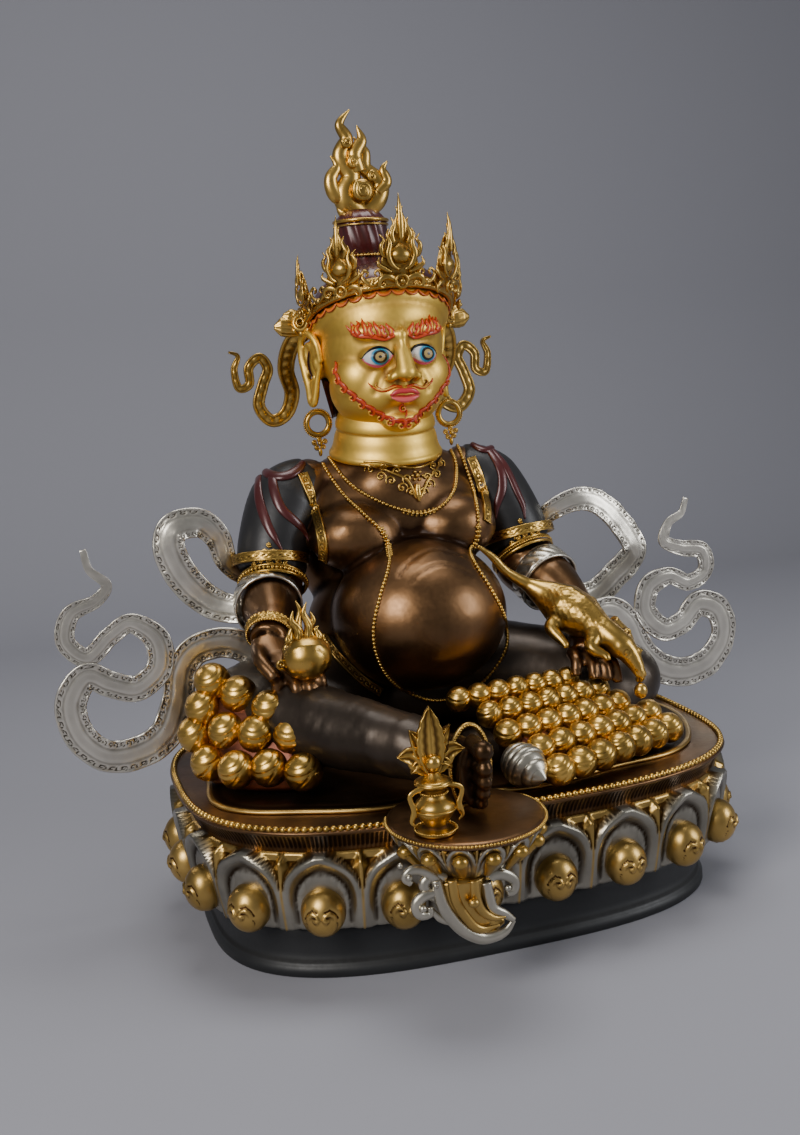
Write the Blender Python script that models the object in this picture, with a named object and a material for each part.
"""Seated wealth deity on an oval lotus base, cast and beaten copper.

Metres, +Z up. The figure faces -Y. The origin is the middle of the base's underside.
Each separately made piece is one object. Pieces that touch keep GAP between them.
"""
import math

import bmesh
import bpy
from mathutils import Matrix, Vector

GAP = 0.0003

# The base: a black foot, a lotus drum and a flat seat, all of one rounded oval.
FOOT_HALF_WIDTH = 0.350
FOOT_HALF_DEPTH = 0.232
FOOT_HEIGHT = 0.070
SEAT_HALF_WIDTH = 0.378
SEAT_HALF_DEPTH = 0.266
SEAT_HEIGHT = 0.205
OVAL_POWER = 3.0
PETAL_COUNT = 22
PETAL_TOP = 0.172
PETAL_BULGE = 0.020
RIM_BEAD_RADIUS = 0.0045

# The thin cloth that lies on the seat under the figure.
MAT_THICKNESS = 0.005
MAT_HALF_WIDTH = 0.345
MAT_HALF_DEPTH = 0.215

# The footrest: a small lotus bracket in front of the base.
FOOTREST_X = -0.080
FOOTREST_Y = -0.300
FOOTREST_RADIUS = 0.094
FOOTREST_THICKNESS = 0.010
FOOTREST_DEPTH = 0.062

# The figure, measured from its own middle line.
FIGURE_X = -0.012
HEAD_HALF_WIDTH = 0.088
HEAD_HEIGHT = 0.755
HEAD_Y = 0.138
BELLY_RADIUS = 0.125
TOPKNOT_RADIUS = 0.036
TOPKNOT_TOP = 0.955
SKIN_VOXEL = 0.006
SKIN_TRIANGLES = 1840

# The crown: a band that rises at the front, with five jewelled leaves.
CROWN_RADIUS = 0.104
CROWN_FRONT = 0.842
CROWN_BACK = 0.770
CROWN_BAND = 0.0085
CROWN_LEAVES = ((-82, 0.082), (-41, 0.108), (0, 0.121), (41, 0.108), (82, 0.082))

# What the figure wears and holds.
FINIAL_HEIGHT = 0.146
FINIAL_THICKNESS = 0.016
RIBBON_THICKNESS = 0.007
SCARF_WIDTH = 0.036
SCARF_THICKNESS = 0.008
EARRING_RADIUS = 0.0205
EARRING_WIRE = 0.0045
JEWEL_RADIUS = 0.031
VASE_RADIUS = 0.024
VASE_HEIGHT = 0.104
HEAP_JEWEL_RADIUS = 0.0220
FRONT_JEWEL_RADIUS = 0.0185
BACK_JEWEL_RADIUS = 0.0150
CONCH_RADIUS = 0.028

TAU = 2 * math.pi
MAT_BOTTOM = SEAT_HEIGHT + GAP
MAT_TOP = MAT_BOTTOM + MAT_THICKNESS
REST_HEIGHT = MAT_TOP + GAP
FOOTREST_TOP = SEAT_HEIGHT + RIM_BEAD_RADIUS + 2 * GAP + FOOTREST_THICKNESS
FOOTREST_UNDERSIDE = FOOTREST_TOP - FOOTREST_THICKNESS


def clear_scene():
    for thing in list(bpy.data.objects):
        bpy.data.objects.remove(thing, do_unlink=True)


def metal(name, colour, roughness, metallic=1.0):
    material = bpy.data.materials.new(name)
    material.use_nodes = True
    shader = material.node_tree.nodes["Principled BSDF"]
    shader.inputs["Base Color"].default_value = (*colour, 1.0)
    shader.inputs["Roughness"].default_value = roughness
    shader.inputs["Metallic"].default_value = metallic
    return material


def smoothstep(low, high, value):
    t = min(max((value - low) / (high - low), 0.0), 1.0)
    return t * t * (3 - 2 * t)


def bell(value, middle, spread):
    return math.exp(-((value - middle) / spread) ** 2)


def mirrored(points, side):
    return [Vector((side * p[0], p[1], p[2])) for p in points]


def from_middle(points):
    return [Vector((FIGURE_X + p[0], p[1], p[2])) for p in points]


def smooth_path(points, steps):
    """Catmull-Rom curve through the points, with this many steps between two of them."""
    points = [Vector(p) for p in points]
    ends = [points[0] * 2 - points[1]] + points + [points[-1] * 2 - points[-2]]
    path = []
    for i in range(1, len(ends) - 2):
        a, b, c, d = ends[i - 1:i + 3]
        for k in range(steps):
            t = k / steps
            path.append(0.5 * (2 * b + (c - a) * t + (2 * a - 5 * b + 4 * c - d) * t * t
                               + (3 * b - a - 3 * c + d) * t ** 3))
    path.append(points[-1])
    return path


def spread(values, count):
    """Values read off evenly along a list, by straight lines."""
    out = []
    for i in range(count):
        place = i / (count - 1) * (len(values) - 1)
        low = min(int(place), len(values) - 2)
        out.append(values[low] + (values[low + 1] - values[low]) * (place - low))
    return out


def skin(rings):
    """Closed mesh over rings of points, each end closed by a fan."""
    bm = bmesh.new()
    rows = [[bm.verts.new(p) for p in ring] for ring in rings]
    count = len(rows[0])
    for lower, upper in zip(rows, rows[1:]):
        for i in range(count):
            j = (i + 1) % count
            bm.faces.new((lower[i], lower[j], upper[j], upper[i]))
    for row, order in ((rows[0], -1), (rows[-1], 1)):
        middle = bm.verts.new(sum((v.co for v in row), Vector()) / count)
        for i in range(count):
            pair = (row[i], row[(i + 1) % count])
            bm.faces.new((*pair[::order], middle))
    bmesh.ops.triangulate(bm, faces=bm.faces[:])
    bmesh.ops.recalc_face_normals(bm, faces=bm.faces[:])
    return bm


def join_rows(bm, rows):
    """Faces between rows of corners that close on themselves both ways, as on a ring."""
    count = len(rows)
    sides = len(rows[0])
    for i in range(count):
        j = (i + 1) % count
        for k in range(sides):
            m = (k + 1) % sides
            bm.faces.new((rows[i][k], rows[j][k], rows[j][m], rows[i][m]))
    bmesh.ops.recalc_face_normals(bm, faces=bm.faces[:])


def oval(half_width, half_depth, count, z):
    """Points evenly spaced along a rounded oval, from the middle of the front, anticlockwise."""
    fine = 1440
    curve = []
    for i in range(fine):
        angle = TAU * i / fine - math.pi / 2
        c = math.cos(angle)
        s = math.sin(angle)
        x = half_width * math.copysign(abs(c) ** (2 / OVAL_POWER), c)
        y = half_depth * math.copysign(abs(s) ** (2 / OVAL_POWER), s)
        curve.append(Vector((x, y, z)))
    lengths = [0.0]
    for i in range(fine):
        lengths.append(lengths[-1] + (curve[(i + 1) % fine] - curve[i]).length)
    points = []
    step = 0
    for k in range(count):
        target = lengths[-1] * k / count
        while lengths[step + 1] < target:
            step += 1
        t = (target - lengths[step]) / max(lengths[step + 1] - lengths[step], 1e-9)
        points.append(curve[step].lerp(curve[(step + 1) % fine], t))
    return points


def outward(points):
    """Level unit vectors that point out of a closed row of points."""
    count = len(points)
    out = []
    for i in range(count):
        along = points[(i + 1) % count] - points[i - 1]
        out.append(Vector((along.y, -along.x, 0)).normalized())
    return out


def lathe(profile, segments, centre=(0, 0, 0), axis=(0, 0, 1)):
    """Turned solid: profile is radius and height along the axis."""
    turn = Vector((0, 0, 1)).rotation_difference(Vector(axis).normalized())
    rings = []
    for radius, height in profile:
        ring = []
        for i in range(segments):
            angle = TAU * i / segments
            local = Vector((radius * math.cos(angle), radius * math.sin(angle), height))
            ring.append(Vector(centre) + turn @ local)
        rings.append(ring)
    return skin(rings)


def tube(path, radii, sides=10, flat=1.0, face=None, steps=4):
    """Round or flattened bar along a smooth path; face is the way its broad side looks."""
    points = smooth_path(path, steps)
    sizes = spread(radii, len(points))
    rings = []
    across = Vector(face) if face else Vector((0.3, 0.2, 0.93))
    for i, point in enumerate(points):
        along = (points[min(i + 1, len(points) - 1)] - points[max(i - 1, 0)]).normalized()
        if face:
            normal = (Vector(face) - along * along.dot(Vector(face))).normalized()
        else:
            normal = (across - along * along.dot(across)).normalized()
            across = normal
        side = along.cross(normal)
        ring = []
        for k in range(sides):
            angle = TAU * k / sides
            ring.append(point + side * (math.cos(angle) * sizes[i])
                        + normal * (math.sin(angle) * sizes[i] * flat))
        rings.append(ring)
    return skin(rings)


def strap(path, widths, thickness, face, steps=4, raised=True):
    """Flat band bent along a path across its broad face, with or without raised edges."""
    points = smooth_path(path, steps)
    sizes = spread(widths, len(points))
    section = ((-1, 0.5), (-0.6, 0.2), (0.6, 0.2), (1, 0.5), (1, -0.5), (-1, -0.5))
    if not raised:
        section = ((-1, 0.5), (1, 0.5), (1, -0.5), (-1, -0.5))
    rings = []
    for i, point in enumerate(points):
        along = (points[min(i + 1, len(points) - 1)] - points[max(i - 1, 0)]).normalized()
        normal = (Vector(face) - along * along.dot(Vector(face))).normalized()
        side = along.cross(normal)
        half = sizes[i] / 2
        rings.append([point + side * (across * half) + normal * (proud * thickness)
                      for across, proud in section])
    return skin(rings)


def blob(centre, radii, turn=None, segments=16, rings=10):
    bm = bmesh.new()
    bmesh.ops.create_uvsphere(bm, u_segments=segments, v_segments=rings, radius=1.0)
    matrix = Matrix.Translation(Vector(centre))
    if turn is not None:
        matrix = matrix @ turn
    matrix = matrix @ Matrix.Diagonal((*radii, 1.0))
    bmesh.ops.transform(bm, matrix=matrix, verts=bm.verts)
    return bm


def box(low, high):
    bm = bmesh.new()
    size = Vector(high) - Vector(low)
    middle = (Vector(high) + Vector(low)) / 2
    matrix = Matrix.Translation(middle) @ Matrix.Diagonal((*size, 1.0))
    bmesh.ops.create_cube(bm, size=1.0, matrix=matrix)
    return bm


def joined_mesh(name, shapes):
    mesh = bpy.data.meshes.new(name)
    whole = bmesh.new()
    for shape in shapes:
        shape.to_mesh(mesh)
        whole.from_mesh(mesh)
        shape.free()
    bmesh.ops.triangulate(whole, faces=whole.faces[:])
    whole.to_mesh(mesh)
    whole.free()
    return mesh


def place(name, shapes, material=None):
    thing = bpy.data.objects.new(name, joined_mesh(name, shapes))
    bpy.context.collection.objects.link(thing)
    if material:
        thing.data.materials.append(material)
    return thing


def as_guide(thing):
    thing.hide_render = True
    thing.display_type = "WIRE"
    return thing


def settle(thing):
    """Keep what the modifiers make as the object's own mesh."""
    graph = bpy.context.evaluated_depsgraph_get()
    graph.update()
    made = bpy.data.meshes.new_from_object(thing.evaluated_get(graph))
    thing.modifiers.clear()
    thing.data = made


def is_closed(mesh):
    bm = bmesh.new()
    bm.from_mesh(mesh)
    closed = len(bm.faces) > 3 and all(part.is_manifold for part in [*bm.edges, *bm.verts])
    bm.free()
    return closed


def combine(thing, other, way):
    """Boolean with the exact solver, or the manifold one where the exact one leaves an open skin."""
    before = thing.data
    for solver in ("EXACT", "MANIFOLD"):
        cut = thing.modifiers.new(way.title(), "BOOLEAN")
        cut.operation = way
        cut.object = other
        cut.solver = solver
        settle(thing)
        if is_closed(thing.data):
            return
        if solver == "EXACT":
            thing.data = before


def thin_out(thing, triangles):
    """Collapse the shortest edges until about this many triangles are left in a closed skin."""
    whole = thing.data
    faces = sum(len(face.vertices) - 2 for face in whole.polygons)
    if faces <= triangles:
        return
    for attempt in range(10):
        thin = thing.modifiers.new("Thin", "DECIMATE")
        thin.ratio = triangles * (1 + 0.03 * attempt) / faces
        settle(thing)
        if is_closed(thing.data):
            return
        thing.data = whole


def union(name, shapes, material, triangles):
    """One body out of overlapping closed shapes."""
    thing = place(name, shapes[:1], material)
    for shape in shapes[1:]:
        other = as_guide(place(name + "_part", [shape]))
        combine(thing, other, "UNION")
        bpy.data.objects.remove(other, do_unlink=True)
    thin_out(thing, triangles)
    return thing


def carve(thing, guide):
    combine(thing, guide, "DIFFERENCE")


def cut_flat(thing, height):
    """Take away all that lies below a level."""
    below = as_guide(place("below", [box((-1, -1, -0.5), (1, 1, height))]))
    carve(thing, below)
    bpy.data.objects.remove(below, do_unlink=True)


def grown(thing):
    """Guide that stands GAP proud of an object, to cut what touches it."""
    copy = thing.copy()
    copy.data = thing.data.copy()
    copy.name = thing.name + "_clearance"
    bpy.context.collection.objects.link(copy)
    swell = copy.modifiers.new("Clearance", "DISPLACE")
    swell.strength = GAP
    swell.mid_level = 0.0
    settle(copy)
    return as_guide(copy)


def keep_largest(thing):
    """Drop the crumbs that a cut leaves beside the main body."""
    bm = bmesh.new()
    bm.from_mesh(thing.data)
    left = set(bm.verts)
    bodies = []
    while left:
        start = left.pop()
        body = {start}
        front = [start]
        while front:
            vert = front.pop()
            for edge in vert.link_edges:
                other = edge.other_vert(vert)
                if other in left:
                    left.discard(other)
                    body.add(other)
                    front.append(other)
        bodies.append(body)
    bodies.sort(key=len)
    crumbs = [v for body in bodies[:-1] for v in body]
    bmesh.ops.delete(bm, geom=crumbs, context="VERTS")
    bm.to_mesh(thing.data)
    bm.free()


def weld(thing, distance=0.000002):
    """Merge corners that a cut left almost in one place, where the skin stays closed."""
    before = thing.data.copy()
    bm = bmesh.new()
    bm.from_mesh(thing.data)
    bmesh.ops.remove_doubles(bm, verts=bm.verts, dist=distance)
    bmesh.ops.dissolve_degenerate(bm, edges=bm.edges, dist=distance)
    bmesh.ops.triangulate(bm, faces=bm.faces[:])
    bm.to_mesh(thing.data)
    bm.free()
    if not is_closed(thing.data):
        thing.data = before


# The base.

def foot_stand(material):
    profile = ((0.0, 0.0), (0.0, 0.016), (-0.007, 0.024), (-0.012, FOOT_HEIGHT - GAP))
    ring = oval(FOOT_HALF_WIDTH, FOOT_HALF_DEPTH, 36, 0.0)
    ways = outward(ring)
    rings = [[p + w * offset + Vector((0, 0, z)) for p, w in zip(ring, ways)] for offset, z in profile]
    return place("foot_stand", [skin(rings)], material)


def petal_relief(across, up):
    """How far a lotus petal stands out; across is 0 to 1 over the petal, up is 0 to 1."""
    middle = abs(across - 0.5) * 2
    arch = 1 - smoothstep(0.60, 1.0, middle)
    lip = bell(up, 0.88, 0.22) * (1 - 0.4 * middle)
    core = (1 - smoothstep(0.10, 0.62, middle)) * bell(up, 0.42, 0.26)
    return arch * 0.40 + lip * 0.50 + core * 0.85


def lotus_base(material):
    """Drum with a belt of petals, a plain band and a beaded rim round the flat seat."""
    columns = (0.0, 0.25, 0.5, 0.75)
    fineness = 40
    count = PETAL_COUNT * fineness
    seat = oval(SEAT_HALF_WIDTH, SEAT_HALF_DEPTH, count, 0.0)
    ways = outward(seat)
    picks = []
    for petal in range(PETAL_COUNT):
        for share in columns:
            picks.append((round((petal + share) * fineness) % count, share))
    rings = []

    def ring(offset, height):
        rings.append([seat[k] + ways[k] * offset(share) + Vector((0, 0, height(share)))
                      for k, share in picks])

    ring(lambda share: -0.040, lambda share: FOOT_HEIGHT)
    low = FOOT_HEIGHT + 0.004
    for up in (0.0, 0.42, 0.70, 0.92):
        lean = -0.020 + 0.010 * up
        ring(lambda share: lean + PETAL_BULGE * 1.3 * petal_relief(share, up),
             lambda share: low + (PETAL_TOP - low) * up * (1 - 0.20 * abs(share - 0.5) * 2))
    ring(lambda share: -0.016, lambda share: PETAL_TOP + 0.003)
    ring(lambda share: 0.0, lambda share: SEAT_HEIGHT - 0.003)
    ring(lambda share: -RIM_BEAD_RADIUS, lambda share: SEAT_HEIGHT + RIM_BEAD_RADIUS)
    ring(lambda share: -2.4 * RIM_BEAD_RADIUS, lambda share: SEAT_HEIGHT)
    return place("lotus_base", [skin(rings)], material)


def seat_mat(material):
    """Thin cloth with a wavy hem, lying on the seat."""
    count = 54
    ring = oval(MAT_HALF_WIDTH, MAT_HALF_DEPTH, count, MAT_BOTTOM)
    ways = outward(ring)
    edge = []
    for i, (p, way) in enumerate(zip(ring, ways)):
        wave = 0.006 * math.sin(TAU * 9 * i / count) + 0.004 * math.sin(TAU * 5 * i / count + 1.0)
        edge.append(p + way * wave)
    lift = Vector((0, 0, MAT_THICKNESS))
    return place("seat_mat", [skin([edge, [p + lift for p in edge]])], material)


def footrest_lotus(material):
    """Round bead-edged shelf over a lotus bowl, with a curled leaf below."""
    centre = Vector((FOOTREST_X, FOOTREST_Y, 0))
    disc = lathe(((FOOTREST_RADIUS - 0.004, FOOTREST_UNDERSIDE),
                  (FOOTREST_RADIUS, FOOTREST_UNDERSIDE + 0.003),
                  (FOOTREST_RADIUS, FOOTREST_TOP - 0.003),
                  (FOOTREST_RADIUS - 0.003, FOOTREST_TOP)), 30, centre)
    petals = 11
    columns = 4
    rings = []
    for up in (1.0, 0.78, 0.5, 0.2, 0.0):
        ring = []
        for i in range(petals * columns):
            across = (i % columns) / columns
            angle = TAU * i / (petals * columns)
            belly = FOOTREST_RADIUS * (0.42 + 0.44 * math.sin(up * math.pi / 2))
            radius = belly + 0.012 * petal_relief(across, 0.3 + 0.5 * up)
            z = FOOTREST_UNDERSIDE + 0.005 - FOOTREST_DEPTH * (1 - up)
            ring.append(centre + Vector((radius * math.cos(angle), radius * math.sin(angle), z)))
        rings.append(ring)
    bowl = skin(rings)
    root = Vector((FOOTREST_X, FOOTREST_Y - 0.5 * FOOTREST_RADIUS, FOOTREST_UNDERSIDE - FOOTREST_DEPTH))

    def bent(points, radii, sides, flat=1.0, face=None):
        return tube([root + Vector(p) for p in points], radii, sides, flat, face, 2)

    leaf = bent(((-0.008, 0.020, 0.020), (-0.016, 0.0, -0.008), (-0.008, -0.004, -0.036),
                 (0.016, -0.008, -0.048), (0.036, -0.010, -0.036), (0.030, -0.010, -0.027)),
                (0.030, 0.030, 0.022, 0.014, 0.009, 0.005), 6, 0.55, (0, -1, 0))
    curl = bent(((0.010, 0.010, -0.010), (0.016, 0.0, 0.006), (0.034, -0.004, 0.012),
                 (0.042, -0.004, -0.002)), (0.010, 0.008, 0.006, 0.004), 5)
    scroll = bent(((-0.012, 0.006, -0.024), (-0.036, 0.002, -0.008), (-0.054, 0.002, 0.004),
                   (-0.062, 0.0, -0.008), (-0.054, 0.0, -0.014)),
                  (0.011, 0.009, 0.007, 0.006, 0.004), 5)
    thing = union("footrest_lotus", [bowl, disc, leaf, curl, scroll], material, 430)
    stop = -SEAT_HALF_DEPTH - PETAL_BULGE - GAP
    ceiling = FOOTREST_UNDERSIDE - 0.0005
    behind = as_guide(place("behind_bowl", [box((-0.3, stop, 0.0), (0.2, 0.2, ceiling))]))
    carve(thing, behind)
    bpy.data.objects.remove(behind, do_unlink=True)
    keep_largest(thing)
    return thing


# The figure.

def trunk():
    blobs = [
        ((0, 0.165, 0.265), (0.170, 0.120, 0.075)),
        ((0, 0.140, 0.350), (0.146, 0.108, 0.120)),
        ((0, 0.045, 0.388), (BELLY_RADIUS, 0.122, 0.106)),
        ((0, 0.180, 0.470), (0.142, 0.085, 0.130)),
        ((0, 0.150, 0.520), (0.140, 0.090, 0.085)),
        ((-0.074, 0.092, 0.497), (0.066, 0.056, 0.048)),
        ((0.074, 0.092, 0.497), (0.066, 0.056, 0.048)),
        ((0, 0.165, 0.575), (0.120, 0.070, 0.045)),
    ]
    shapes = [blob(from_middle([c])[0], r, segments=24, rings=16) for c, r in blobs]
    shapes.append(tube(from_middle([(0, 0.160, 0.570), (0, 0.145, 0.630), (0, 0.140, 0.700)]),
                       (0.082, 0.073, 0.068), sides=20))
    return shapes


def head():
    middle = Vector((FIGURE_X, HEAD_Y, HEAD_HEIGHT))
    wide = HEAD_HALF_WIDTH
    shapes = [
        blob(middle + Vector((0, 0.008, 0.010)), (wide, wide * 1.10, wide * 1.12), None, 24, 16),
        blob(middle + Vector((0, -0.014, -0.048)), (wide * 0.93, wide * 0.88, wide * 0.66), None, 24, 16),
        blob(middle + Vector((0, -0.066, -0.088)), (wide * 0.34, wide * 0.28, wide * 0.20)),
        blob(middle + Vector((0, -0.080, 0.020)), (wide * 0.70, wide * 0.22, wide * 0.13)),
        blob(middle + Vector((0, -0.104, -0.030)), (wide * 0.17, wide * 0.18, wide * 0.17)),
        blob(middle + Vector((0, -0.094, -0.062)), (wide * 0.32, wide * 0.13, wide * 0.12)),
        tube([middle + Vector((0, -0.088, 0.022)), middle + Vector((0, -0.104, -0.028))], (0.010, 0.014)),
    ]
    for side in (-1, 1):
        shapes.append(blob(middle + Vector((side * 0.098, 0.034, -0.006)), (0.015, 0.016, 0.034)))
        shapes.append(blob(middle + Vector((side * 0.090, 0.030, -0.010)), (0.016, 0.018, 0.026)))
        shapes.append(blob(middle + Vector((side * 0.102, 0.030, -0.046)), (0.009, 0.010, 0.026)))
        shapes.append(blob(middle + Vector((side * 0.019, -0.100, -0.033)), (0.013, 0.012, 0.010)))
    knot_y = HEAD_Y + 0.052
    low = HEAD_HEIGHT + wide
    shapes.append(lathe(((TOPKNOT_RADIUS * 1.25, low - 0.020), (TOPKNOT_RADIUS * 1.1, low + 0.028),
                         (TOPKNOT_RADIUS * 0.86, low + 0.046), (TOPKNOT_RADIUS * 1.02, low + 0.060),
                         (TOPKNOT_RADIUS * 1.02, TOPKNOT_TOP - 0.014), (TOPKNOT_RADIUS * 0.7, TOPKNOT_TOP)),
                        20, (FIGURE_X - 0.008, knot_y, 0)))
    return shapes


def arms():
    shapes = []
    for side in (-1, 1):
        upper = from_middle(mirrored([(0.110, 0.175, 0.560), (0.150, 0.165, 0.545), (0.180, 0.140, 0.485),
                                      (0.192, 0.125, 0.425)], side))
        shapes.append(tube(upper, (0.050, 0.058, 0.053, 0.043), sides=16))
    right = from_middle([(-0.192, 0.125, 0.425), (-0.206, 0.080, 0.416), (-0.214, 0.028, 0.404),
                         (-0.228, -0.004, 0.386)])
    left = from_middle([(0.196, 0.125, 0.425), (0.214, 0.080, 0.405), (0.230, 0.030, 0.376),
                        (0.232, -0.010, 0.350)])
    shapes.append(tube(right, (0.043, 0.039, 0.027, 0.024), sides=14))
    shapes.append(tube(left, (0.043, 0.039, 0.027, 0.024), sides=14))
    shapes += right_hand() + left_hand()
    return shapes


def fingers(starts, ends, lift, radius):
    shapes = []
    for start, end in zip(starts, ends):
        start = Vector(start)
        end = Vector(end)
        middle = (start + end) / 2 + Vector(lift)
        sizes = (radius * 1.1, radius, radius * 0.8)
        shapes.append(tube(from_middle([start, middle, end]), sizes, sides=8, steps=3))
    return shapes


def right_hand():
    """Lies palm up over the knee and holds the jewel; the fingers hang forward."""
    palm = from_middle([(-0.228, -0.004, 0.388), (-0.222, -0.028, 0.364), (-0.210, -0.050, 0.350)])
    shapes = [tube(palm, (0.024, 0.031, 0.024), sides=12, flat=0.6, face=(0.3, -0.75, 0.6))]
    starts = [(-0.232, -0.034, 0.362), (-0.214, -0.048, 0.350), (-0.197, -0.056, 0.348),
              (-0.184, -0.056, 0.352)]
    ends = [(-0.236, -0.066, 0.326), (-0.212, -0.086, 0.326), (-0.194, -0.092, 0.326),
            (-0.178, -0.088, 0.334)]
    shapes += fingers(starts, ends, (0, -0.014, 0.004), 0.0092)
    shapes += fingers([(-0.240, -0.012, 0.378)], [(-0.232, -0.078, 0.348)], (-0.010, -0.004, 0.004), 0.0096)
    return shapes


def left_hand():
    """Lies over the knee under the mongoose, fingers forward and down."""
    palm = from_middle([(0.232, -0.010, 0.352), (0.220, -0.046, 0.336), (0.206, -0.070, 0.326)])
    shapes = [tube(palm, (0.026, 0.033, 0.026), sides=12, flat=0.6, face=(0, -0.5, 0.85))]
    starts = [(0.186, -0.062, 0.330), (0.200, -0.072, 0.326), (0.214, -0.074, 0.324),
              (0.228, -0.070, 0.326)]
    ends = [(0.176, -0.092, 0.306), (0.196, -0.104, 0.300), (0.212, -0.108, 0.296),
            (0.230, -0.104, 0.290)]
    shapes += fingers(starts, ends, (0, -0.006, 0.006), 0.0092)
    return shapes


def legs():
    right_thigh = from_middle([(-0.085, 0.120, 0.285), (-0.175, 0.080, 0.290), (-0.258, 0.034, 0.288)])
    left_thigh = from_middle([(0.085, 0.120, 0.280), (0.180, 0.070, 0.272), (0.288, 0.000, 0.262)])
    right_shin = from_middle([(-0.258, 0.030, 0.286), (-0.200, -0.072, 0.288), (-0.130, -0.168, 0.282),
                              (-0.076, -0.232, 0.274)])
    left_shin = from_middle([(0.288, -0.004, 0.254), (0.180, -0.072, 0.240), (0.070, -0.112, 0.234),
                             (0.000, -0.116, 0.230)])
    shapes = [
        tube(right_thigh, (0.080, 0.072, 0.060), sides=20),
        tube(left_thigh, (0.080, 0.070, 0.055), sides=20),
        tube(right_shin, (0.060, 0.056, 0.046, 0.036), sides=16),
        tube(left_shin, (0.053, 0.042, 0.033, 0.027), sides=16),
        blob(right_thigh[-1], (0.062, 0.060, 0.060)),
        blob(left_thigh[-1], (0.056, 0.056, 0.056)),
    ]
    return shapes + right_foot()


def right_foot():
    """Stands on its outer edge on the footrest, toes one above the other, big toe on top."""
    foot_x = -0.068 - FIGURE_X
    foot = from_middle([(-0.076, -0.220, 0.268), (foot_x - 0.004, -0.262, 0.264), (foot_x, -0.305, 0.268)])
    shapes = [
        tube(foot, (0.036, 0.038, 0.042), sides=14, flat=0.5, face=(1, 0, 0)),
        blob(from_middle([(-0.060, -0.222, 0.258)])[0], (0.028, 0.036, 0.030)),
    ]
    for k, z in enumerate((0.304, 0.284, 0.268, 0.253, 0.240)):
        size = (0.0125, 0.0100, 0.0094, 0.0086, 0.0078)[k]
        reach = (-0.338, -0.340, -0.337, -0.332, -0.326)[k]
        toe = from_middle([(foot_x, -0.300, z), (foot_x, reach, z)])
        shapes.append(tube(toe, (size * 0.95, size), sides=8))
        shapes.append(blob(from_middle([(foot_x, reach, z)])[0], (size, size, size), segments=10, rings=6))
    return shapes


def figure(material):
    shapes = trunk() + head() + arms() + legs()
    thing = place("figure", shapes, material)
    remesh = thing.modifiers.new("One skin", "REMESH")
    remesh.mode = "VOXEL"
    remesh.voxel_size = SKIN_VOXEL
    soften = thing.modifiers.new("Soften", "SMOOTH")
    soften.factor = 0.5
    soften.iterations = 5
    settle(thing)
    thin_out(thing, SKIN_TRIANGLES)
    cut_flat(thing, REST_HEIGHT)
    reach = FOOTREST_RADIUS + GAP
    shelf = as_guide(place("shelf", [lathe(((reach, SEAT_HEIGHT), (reach, FOOTREST_TOP + GAP)), 36,
                                           (FOOTREST_X, FOOTREST_Y, 0))]))
    carve(thing, shelf)
    bpy.data.objects.remove(shelf, do_unlink=True)
    keep_largest(thing)
    weld(thing)
    return thing


# The head's ornaments.

def crown_ring(angle, radius=CROWN_RADIUS):
    """Point on the tilted band; angle 0 is the front."""
    turn = math.radians(angle)
    x = FIGURE_X + radius * math.sin(turn)
    y = HEAD_Y + 0.016 - radius * math.cos(turn)
    share = (1 + math.cos(turn)) / 2
    return Vector((x, y, CROWN_BACK + (CROWN_FRONT - CROWN_BACK) * share))


def crown_leaf(angle, height):
    """Flame-shaped leaf with a round jewel and a bud on top, leaning out a little."""
    foot = crown_ring(angle, CROWN_RADIUS - 0.001)
    turn = math.radians(angle)
    out = Vector((math.sin(turn), -math.cos(turn), 0))
    side = Vector((math.cos(turn), math.sin(turn), 0))
    outline = ((0.00, 0.30), (0.12, 0.75), (0.28, 1.0), (0.44, 0.90), (0.58, 0.45), (0.68, 0.22),
               (0.84, 0.24), (1.0, 0.03))
    half = height * 0.225
    rings = []
    for up, wide in outline:
        thick = 0.008 if up < 0.6 else half * wide
        centre = foot + Vector((0, 0, height * up)) + out * (0.004 + 0.010 * up)
        rings.append([centre + side * (half * wide * math.cos(TAU * k / 6))
                      + out * (min(thick, half * wide) * math.sin(TAU * k / 6)) for k in range(6)])
    jewel = foot + Vector((0, 0, height * 0.32)) + out * 0.013
    radii = (height * 0.13, height * 0.13, height * 0.15)
    return [skin(rings), blob(jewel, radii, segments=8, rings=5)]


def crown(material, head_guide):
    band_path = [crown_ring(angle) for angle in range(-180, 180, 15)]
    count = len(band_path)
    sides = 5
    band = bmesh.new()
    rows = []
    for i, point in enumerate(band_path):
        along = (band_path[(i + 1) % count] - band_path[i - 1]).normalized()
        out = Vector((point.x - FIGURE_X, point.y - HEAD_Y - 0.016, 0)).normalized()
        up = along.cross(out).normalized()
        row = []
        for k in range(sides):
            turn = TAU * k / sides
            row.append(band.verts.new(point + out * (CROWN_BAND * math.cos(turn))
                                      + up * (CROWN_BAND * 1.2 * math.sin(turn))))
        rows.append(row)
    join_rows(band, rows)
    shapes = [band]
    for angle, height in CROWN_LEAVES:
        shapes += crown_leaf(angle, height)
    for angle in (-62, -20, 20, 62):
        scroll = crown_ring(angle) + Vector((0, 0, 0.012))
        shapes.append(blob(scroll, (0.010, 0.010, 0.012), segments=6, rings=4))
    for side in (-1, 1):
        rosette = crown_ring(side * 98, CROWN_RADIUS + 0.006)
        shapes.append(blob(rosette, (0.010, 0.016, 0.016), segments=8, rings=5))
    thing = union("crown", shapes, material, 590)
    carve(thing, head_guide)
    keep_largest(thing)
    weld(thing)
    return thing


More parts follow.
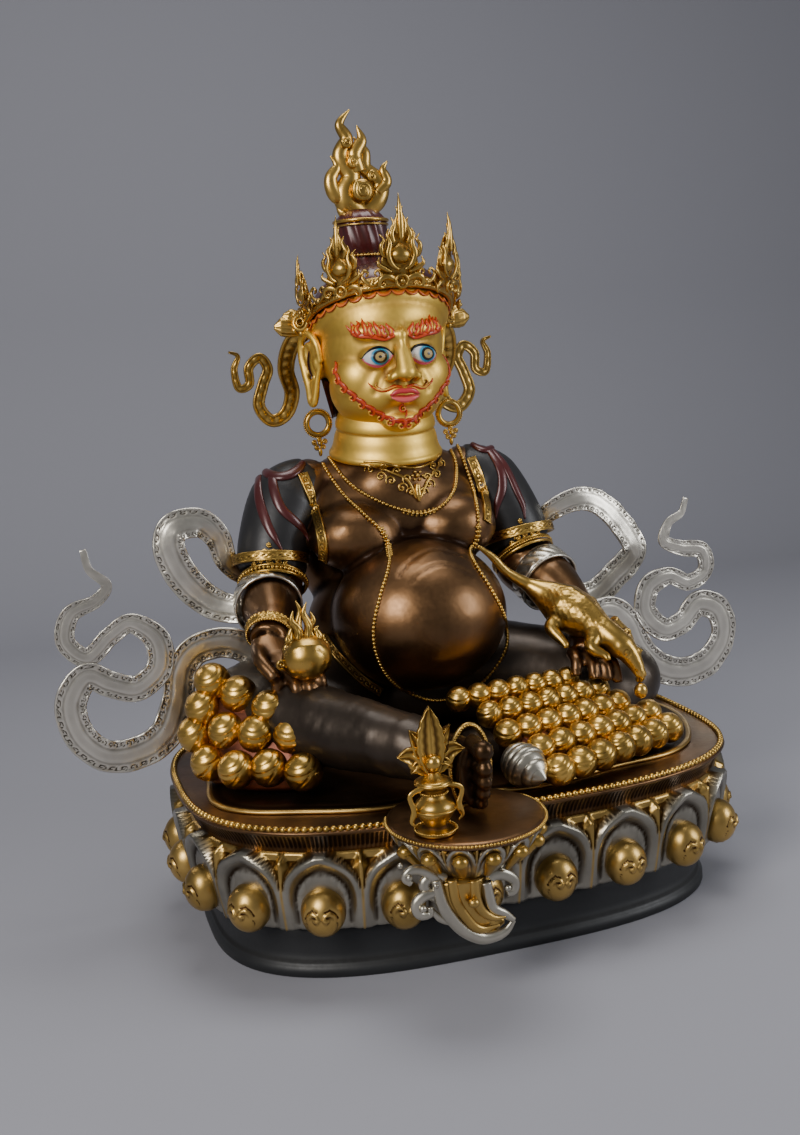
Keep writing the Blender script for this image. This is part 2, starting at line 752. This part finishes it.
def flame_finial(material, head_guide):
    """Flat flame that rises from the topknot, with a scroll at its waist."""
    foot = Vector((FIGURE_X - 0.010, HEAD_Y + 0.052, TOPKNOT_TOP - 0.006))
    tall = FINIAL_HEIGHT

    def licks(points):
        return [foot + Vector((x * tall, 0, z * tall)) for x, z in points]

    flat = FINIAL_THICKNESS / 0.036
    front = (0, -1, 0)
    shapes = [
        tube(licks(((0.03, -0.02), (-0.13, 0.16), (-0.06, 0.36), (-0.15, 0.55), (-0.08, 0.72),
                    (-0.14, 0.86), (-0.03, 1.0))),
             (0.018, 0.022, 0.019, 0.016, 0.013, 0.008, 0.002), 6, flat, front, 2),
        tube(licks(((0.05, 0.02), (0.21, 0.14), (0.24, 0.30), (0.10, 0.44), (0.10, 0.60), (0.0, 0.74))),
             (0.014, 0.017, 0.016, 0.014, 0.010, 0.004), 6, flat, front, 2),
        tube(licks(((-0.06, 0.22), (-0.22, 0.24), (-0.20, 0.34))), (0.010, 0.008, 0.002), 5, 1.0, None, 1),
        tube(licks(((0.10, 0.48), (0.18, 0.58), (0.14, 0.68))), (0.009, 0.006, 0.002), 5, 1.0, None, 1),
        blob(foot + Vector((0.03, 0, 0.22)) * tall, (0.016, 0.008, 0.016), segments=8, rings=5),
    ]
    thing = union("flame_finial", shapes, material, 230)
    carve(thing, head_guide)
    keep_largest(thing)
    weld(thing)
    return thing


def ear_ribbon(name, side, material, head_guide, crown_guide):
    """Grooved ribbon that falls behind the ear and curls up and out to a small tassel."""
    path = from_middle(mirrored([(0.100, 0.184, 0.790), (0.120, 0.205, 0.770), (0.126, 0.225, 0.735),
                                 (0.116, 0.240, 0.700), (0.126, 0.245, 0.670), (0.149, 0.245, 0.661),
                                 (0.166, 0.245, 0.684), (0.158, 0.245, 0.714), (0.149, 0.245, 0.737),
                                 (0.160, 0.245, 0.754), (0.177, 0.245, 0.741), (0.178, 0.245, 0.717),
                                 (0.194, 0.245, 0.712), (0.199, 0.245, 0.739), (0.192, 0.245, 0.758),
                                 (0.205, 0.245, 0.765)], side))
    widths = (0.020, 0.024, 0.024, 0.022, 0.018, 0.017, 0.016, 0.015, 0.014, 0.013, 0.012, 0.011,
              0.010, 0.009, 0.008, 0.006)
    front = (0, -1, 0)
    shapes = [strap(path, widths, RIBBON_THICKNESS, front, steps=2, raised=False)]
    bows = (((0.148, 0.182, 0.796), (0.006, 0.010, 0.008)),
            ((0.134, 0.184, 0.812), (0.006, 0.009, 0.004)))
    for tip, radii in bows:
        bow = from_middle(mirrored([(0.104, 0.180, 0.786), (0.122, 0.182, 0.802), tip], side))
        shapes.append(tube(bow, radii, 6, 0.55, front, 1))
    thing = union(name, shapes, material, 170)
    carve(thing, head_guide)
    carve(thing, crown_guide)
    keep_largest(thing)
    weld(thing)
    return thing


def ring_of(centre, radius, wire, segments=16, sides=5):
    """Ring that faces the front."""
    bm = bmesh.new()
    rows = []
    for i in range(segments):
        angle = TAU * i / segments
        way = Vector((math.cos(angle), 0, math.sin(angle)))
        row = []
        for k in range(sides):
            turn = TAU * k / sides
            row.append(bm.verts.new(Vector(centre) + way * (radius + wire * math.cos(turn))
                                    + Vector((0, wire * math.sin(turn), 0))))
        rows.append(row)
    join_rows(bm, rows)
    return bm


def earring(name, side, material, head_guide):
    centre = Vector((FIGURE_X + side * 0.100, 0.158, 0.657))
    shapes = [
        ring_of(centre, EARRING_RADIUS, EARRING_WIRE),
        blob(centre - Vector((0, 0, EARRING_RADIUS + 0.012)), (0.014, 0.006, 0.012), segments=6, rings=4),
        blob(centre - Vector((0, 0, EARRING_RADIUS + 0.030)), (0.009, 0.005, 0.013), segments=6, rings=4),
    ]
    thing = union(name, shapes, material, 150)
    carve(thing, head_guide)
    keep_largest(thing)
    weld(thing)
    return thing


# The scarves.

def scarf_loop(name, side, path, cuff, material, body_guide):
    """Band that wraps the forearm and flies out behind it in a pointed loop."""
    widths = (0.030, 0.034, 0.036, 0.038, 0.040, 0.036, 0.034, 0.032, 0.030, 0.028, 0.024)
    face = (side * 0.25, -0.95, 0.15)
    shapes = [strap(from_middle(path), widths, SCARF_THICKNESS, face, steps=2, raised=False)]
    middle, way, radius = cuff
    shapes.append(lathe(((radius, -0.016), (radius, 0.016)), 10, from_middle([middle])[0], way))
    thing = union(name, shapes, material, 170)
    carve(thing, body_guide)
    keep_largest(thing)
    weld(thing)
    return thing


def scarf_tail(name, path, material, body_guide, loop_guide):
    """Long scarf end that comes from under the hip and climbs in S-curves to a furled tip."""
    widths = [SCARF_WIDTH] * 5 + [SCARF_WIDTH * 1.1] * 3 + [SCARF_WIDTH] * 3 + [SCARF_WIDTH * 0.85] * 4
    widths += [SCARF_WIDTH * 0.62] * 4 + [SCARF_WIDTH * 0.45, SCARF_WIDTH * 0.3, SCARF_WIDTH * 0.2]
    front = (0, -1, 0)
    whole = strap(from_middle(path), widths, SCARF_THICKNESS, front, steps=2)
    root = Vector(path[0]) + (Vector(path[0]) - Vector(path[1])) * 0.3
    hem = strap(from_middle([root, *path[1:4]]), (SCARF_WIDTH * 0.8,) * 2, SCARF_THICKNESS * 1.5,
                front, 1, False)
    thing = union(name, [whole, hem], material, 262)
    carve(thing, body_guide)
    carve(thing, loop_guide)
    keep_largest(thing)
    weld(thing)
    return thing


RIGHT_TAIL = (
    (-0.200, 0.060, 0.330), (-0.260, 0.064, 0.372), (-0.310, 0.066, 0.372), (-0.336, 0.068, 0.345),
    (-0.345, 0.070, 0.300), (-0.365, 0.070, 0.258), (-0.402, 0.070, 0.238), (-0.446, 0.068, 0.240),
    (-0.478, 0.068, 0.272), (-0.486, 0.068, 0.318), (-0.462, 0.068, 0.352), (-0.432, 0.068, 0.338),
    (-0.398, 0.066, 0.328), (-0.366, 0.064, 0.352), (-0.366, 0.064, 0.392), (-0.398, 0.064, 0.418),
    (-0.428, 0.066, 0.402), (-0.458, 0.068, 0.378), (-0.484, 0.070, 0.402), (-0.474, 0.070, 0.438),
    (-0.440, 0.070, 0.452), (-0.424, 0.070, 0.472), (-0.444, 0.070, 0.494), (-0.450, 0.070, 0.522))
LEFT_TAIL = (
    (0.250, 0.060, 0.330), (0.300, 0.064, 0.352), (0.334, 0.066, 0.330), (0.356, 0.068, 0.286),
    (0.388, 0.070, 0.252), (0.430, 0.070, 0.238), (0.474, 0.070, 0.250), (0.500, 0.070, 0.288),
    (0.492, 0.070, 0.328), (0.458, 0.070, 0.342), (0.430, 0.068, 0.318), (0.396, 0.066, 0.310),
    (0.366, 0.066, 0.340), (0.372, 0.066, 0.378), (0.406, 0.066, 0.392), (0.440, 0.068, 0.378),
    (0.470, 0.070, 0.392), (0.466, 0.070, 0.424), (0.430, 0.070, 0.432), (0.402, 0.070, 0.446),
    (0.410, 0.070, 0.472), (0.432, 0.070, 0.486), (0.440, 0.070, 0.508))
RIGHT_LOOP = (
    (-0.205, 0.100, 0.414), (-0.240, 0.118, 0.408), (-0.278, 0.130, 0.420), (-0.312, 0.130, 0.456),
    (-0.330, 0.130, 0.500), (-0.322, 0.130, 0.530), (-0.286, 0.132, 0.534), (-0.262, 0.136, 0.512),
    (-0.250, 0.146, 0.476), (-0.226, 0.160, 0.452), (-0.190, 0.170, 0.440))
LEFT_LOOP = (
    (0.215, 0.080, 0.398), (0.262, 0.110, 0.370), (0.308, 0.126, 0.364), (0.346, 0.130, 0.388),
    (0.382, 0.130, 0.424), (0.366, 0.130, 0.462), (0.332, 0.130, 0.500), (0.296, 0.130, 0.514),
    (0.258, 0.136, 0.504), (0.226, 0.150, 0.482), (0.180, 0.164, 0.464))


# What the figure holds.

def flaming_jewel(material, body_guide):
    centre = Vector((-0.205, -0.076, 0.377))
    shapes = [blob(centre, (JEWEL_RADIUS, JEWEL_RADIUS, JEWEL_RADIUS), segments=12, rings=7)]
    flames = ((-0.016, 0.020, 0.066), (0.0, 0.024, 0.080), (0.014, 0.020, 0.062),
              (-0.028, 0.006, 0.046), (0.026, 0.008, 0.044))
    for x, z, tip in flames:
        start = centre + Vector((x, 0.012, z))
        end = centre + Vector((x * 1.35 - 0.006, 0.006, tip))
        bend = (start + end) / 2 + Vector((0.006 if x < 0 else -0.004, 0, 0))
        shapes.append(tube([start, bend, end], (0.014, 0.010, 0.001), 5, 0.6, (0, -1, 0), 1))
    thing = union("flaming_jewel", shapes, material, 190)
    carve(thing, body_guide)
    keep_largest(thing)
    weld(thing)
    return thing


def mongoose(material, body_guide):
    """Lies over the left hand, head down, with a pearl at its mouth and its tail up the forearm."""
    spine = from_middle([(0.079, 0.010, 0.480), (0.100, 0.008, 0.462), (0.118, 0.004, 0.440),
                         (0.146, 0.000, 0.420), (0.172, -0.012, 0.400), (0.196, -0.040, 0.384),
                         (0.214, -0.070, 0.372), (0.230, -0.096, 0.352), (0.243, -0.108, 0.336),
                         (0.254, -0.120, 0.312), (0.257, -0.128, 0.296)])
    girth = (0.0035, 0.006, 0.007, 0.009, 0.015, 0.031, 0.031, 0.021, 0.022, 0.012, 0.006)
    shapes = [
        tube(spine, girth, sides=8, steps=2),
        blob(from_middle([(0.250, -0.134, 0.283)])[0], (0.0095, 0.0095, 0.011), segments=8, rings=5),
    ]
    for start, knee, toe in (((0.186, -0.040, 0.376), (0.162, -0.052, 0.364), (0.168, -0.072, 0.344)),
                             ((0.214, -0.082, 0.360), (0.200, -0.098, 0.340), (0.212, -0.112, 0.330)),
                             ((0.216, -0.030, 0.384), (0.238, -0.030, 0.368), (0.244, -0.046, 0.352)),
                             ((0.238, -0.076, 0.366), (0.258, -0.076, 0.350), (0.262, -0.086, 0.336))):
        shapes.append(tube(from_middle([start, knee, toe]), (0.013, 0.008, 0.005), sides=5, steps=1))
    for side in (-1, 1):
        ear = from_middle([(0.241 + side * 0.014, -0.092, 0.352)])[0]
        shapes.append(blob(ear, (0.005, 0.004, 0.007), segments=5, rings=4))
    thing = union("mongoose", shapes, material, 305)
    carve(thing, body_guide)
    keep_largest(thing)
    weld(thing)
    return thing


def treasure_vase(material):
    """Small belted vase with a ball and three leaves on top."""
    foot = FOOTREST_TOP + GAP
    unit = VASE_RADIUS
    profile = ((0.95, 0.0), (0.98, 0.20), (0.62, 0.36), (0.66, 0.60), (1.0, 1.10), (1.02, 1.35),
               (0.70, 1.65), (0.60, 2.25), (0.86, 2.40), (0.86, 2.58), (0.40, 2.80), (0.20, 3.05))
    centre = Vector((-0.130, -0.340, foot))
    shapes = [lathe([(r * unit, h * unit) for r, h in profile], 12, centre)]
    top = centre + Vector((0, 0, 3.0 * unit))
    shapes.append(blob(top + Vector((0, -0.004, 0.010)), (0.010, 0.010, 0.010), segments=8, rings=5))
    reach = VASE_HEIGHT - 3.0 * unit + 0.042
    front = (0, -1, 0)
    for lean in (-1, 0, 1):
        start = top + Vector((0, 0.004, -0.004))
        tip = top + Vector((lean * 0.040, 0.004, reach * (1.0 if lean == 0 else 0.40)))
        middle = (start + tip) / 2 + Vector((0, 0, 0.004 + 0.006 * abs(lean)))
        shapes.append(tube([start, middle, tip], (0.010, 0.017, 0.001), 6, 0.3, front, 2))
    for side in (-1, 1):
        hang = [centre + Vector((side * x * unit, -0.33 * unit, z * unit))
                for x, z in ((0.4, 2.45), (1.25, 2.1), (1.1, 1.3), (1.25, 0.8))]
        shapes.append(tube(hang, (0.005, 0.004, 0.004, 0.006), sides=5, steps=1))
    thing = union("treasure_vase", shapes, material, 305)
    weld(thing)
    return thing


def onion_jewel(centre, radius, up, segments):
    """Round jewel drawn up to a small point."""
    profile = ((0.80, -0.55), (1.0, 0.0), (0.72, 0.62), (0.12, 1.05))
    return lathe([(r * radius, h * radius) for r, h in profile], segments, centre, up)


def right_heap_jewels():
    """Rows of jewels up the slope from the outer front corner to the knee, each a place and a radius."""
    rows = (
        ((-0.336, -0.038, 0.243), (-0.309, -0.090, 0.245), (-0.270, -0.106, 0.246),
         (-0.233, -0.134, 0.243)),
        ((-0.346, -0.010, 0.275), (-0.311, -0.046, 0.284), (-0.278, -0.077, 0.284),
         (-0.237, -0.100, 0.283)),
        ((-0.333, -0.008, 0.308), (-0.289, -0.030, 0.326), (-0.257, -0.070, 0.312)),
        ((-0.317, 0.000, 0.340),))
    return [(Vector(spot), HEAP_JEWEL_RADIUS) for row in rows for spot in row]


def left_heap_jewels():
    """Slanted grid of jewels that climbs from the seat's front edge over the folded left leg."""
    left_end = Vector((0.069, -0.238, 0.230))
    right_end = Vector((0.280, -0.144, 0.230))
    left_climb = Vector((-0.019, 0.037, 0.016))
    right_climb = Vector((-0.028, 0.019, 0.016))
    rows = 5
    columns = 7
    jewels = []
    for row in range(rows):
        for column in range(columns):
            share = (column + 0.35 * (row % 2)) / (columns - 0.65)
            start = left_end + left_climb * row
            end = right_end + right_climb * row
            bow = Vector((0, -0.012 * math.sin(math.pi * share), 0.004 * math.sin(math.pi * share)))
            radius = FRONT_JEWEL_RADIUS + (BACK_JEWEL_RADIUS - FRONT_JEWEL_RADIUS) * row / (rows - 1)
            jewels.append((start.lerp(end, share) + bow, radius))
    return jewels


def mound_under(jewels):
    """Rounded heap that the jewels are set into, down to the mat."""
    bm = bmesh.new()
    middle = sum((spot for spot, radius in jewels), Vector()) / len(jewels)
    for spot, radius in jewels:
        inward = (middle - spot) * 0.06
        bm.verts.new(spot + inward - Vector((0, 0, radius * 0.1)))
        bm.verts.new(Vector((spot.x + inward.x, spot.y + inward.y, REST_HEIGHT - 0.004)))
    made = bmesh.ops.convex_hull(bm, input=bm.verts[:])
    inside = {v for v in made["geom_interior"] + made["geom_unused"] if isinstance(v, bmesh.types.BMVert)}
    bmesh.ops.delete(bm, geom=list(inside), context="VERTS")
    return bm


def jewel_heap(name, jewels, lean, sides, material, body_guide):
    shapes = [mound_under(jewels)]
    for spot, radius in jewels:
        shapes.append(onion_jewel(spot, radius, lean, sides))
    thing = union(name, shapes, material, len(jewels) * sides * 4)
    cut_flat(thing, REST_HEIGHT)
    carve(thing, body_guide)
    keep_largest(thing)
    weld(thing)
    return thing


def conch(material, guides):
    """Whorled shell that lies on its side with its tip to the front."""
    way = Vector((0.30, -0.90, -0.22)).normalized()
    centre = Vector((0.030, -0.222, REST_HEIGHT + CONCH_RADIUS * 0.92))
    unit = CONCH_RADIUS
    profile = ((0.50, -1.15), (0.96, -0.40), (1.0, 0.15), (0.78, 0.50), (0.60, 0.84), (0.30, 1.12),
               (0.06, 1.36))
    shell = lathe([(r * unit, h * unit) for r, h in profile], 10, centre, way)
    thing = place("conch", [shell], material)
    cut_flat(thing, REST_HEIGHT)
    for guide in guides:
        carve(thing, guide)
    keep_largest(thing)
    weld(thing)
    return thing


def build():
    clear_scene()
    gold = (0.72, 0.46, 0.16)
    old_gold = (0.50, 0.33, 0.14)
    silver = (0.60, 0.58, 0.53)
    foot_stand(metal("black_foot", (0.012, 0.013, 0.013), 0.45, 0.4))
    lotus_base(metal("lotus_metal", (0.45, 0.38, 0.27), 0.35))
    footrest = footrest_lotus(metal("footrest_metal", (0.42, 0.36, 0.27), 0.35))
    seat_mat(metal("mat_metal", (0.16, 0.09, 0.04), 0.40))
    body = figure(metal("oxidised_copper", (0.12, 0.055, 0.025), 0.32))
    body_guide = grown(body)
    crown_guide = grown(crown(metal("crown_gold", gold, 0.30), body_guide))
    flame_finial(metal("finial_gold", gold, 0.30), body_guide)
    guides = [body_guide, crown_guide]
    cuffs = {"right": ((-0.206, 0.090, 0.417), (-0.12, -0.98, -0.15), 0.047),
             "left": ((0.212, 0.090, 0.408), (0.2, -0.90, -0.38), 0.047)}
    loops = {"right": RIGHT_LOOP, "left": LEFT_LOOP}
    tails = {"right": RIGHT_TAIL, "left": LEFT_TAIL}
    for name, side in (("right", -1), ("left", 1)):
        ear_ribbon("ear_ribbon_" + name, side, metal("ribbon_gold_" + name, old_gold, 0.35),
                   body_guide, crown_guide)
        earring("earring_" + name, side, metal("earring_gold_" + name, gold, 0.30), body_guide)
        loop = scarf_loop("scarf_loop_" + name, side, loops[name], cuffs[name],
                          metal("silver_loop_" + name, silver, 0.32), body_guide)
        loop_guide = grown(loop)
        scarf_tail("scarf_tail_" + name, tails[name], metal("silver_tail_" + name, silver, 0.32),
                   body_guide, loop_guide)
        guides.append(loop_guide)
    flaming_jewel(metal("jewel_gold", gold, 0.25), body_guide)
    mongoose(metal("mongoose_gold", gold, 0.30), body_guide)
    treasure_vase(metal("vase_gold", old_gold, 0.30))
    jewel_heap("jewel_heap_right", right_heap_jewels(), (-0.25, -0.35, 0.90), 7,
               metal("heap_gold_right", gold, 0.28), body_guide)
    left_heap = jewel_heap("jewel_heap_left", left_heap_jewels(), (-0.20, -0.30, 0.93), 6,
                           metal("heap_gold_left", gold, 0.28), body_guide)
    guides += [grown(left_heap), grown(footrest)]
    conch(metal("conch_silver", silver, 0.40), [body_guide, *guides[-2:]])
    for guide in guides:
        bpy.data.objects.remove(guide, do_unlink=True)


build()
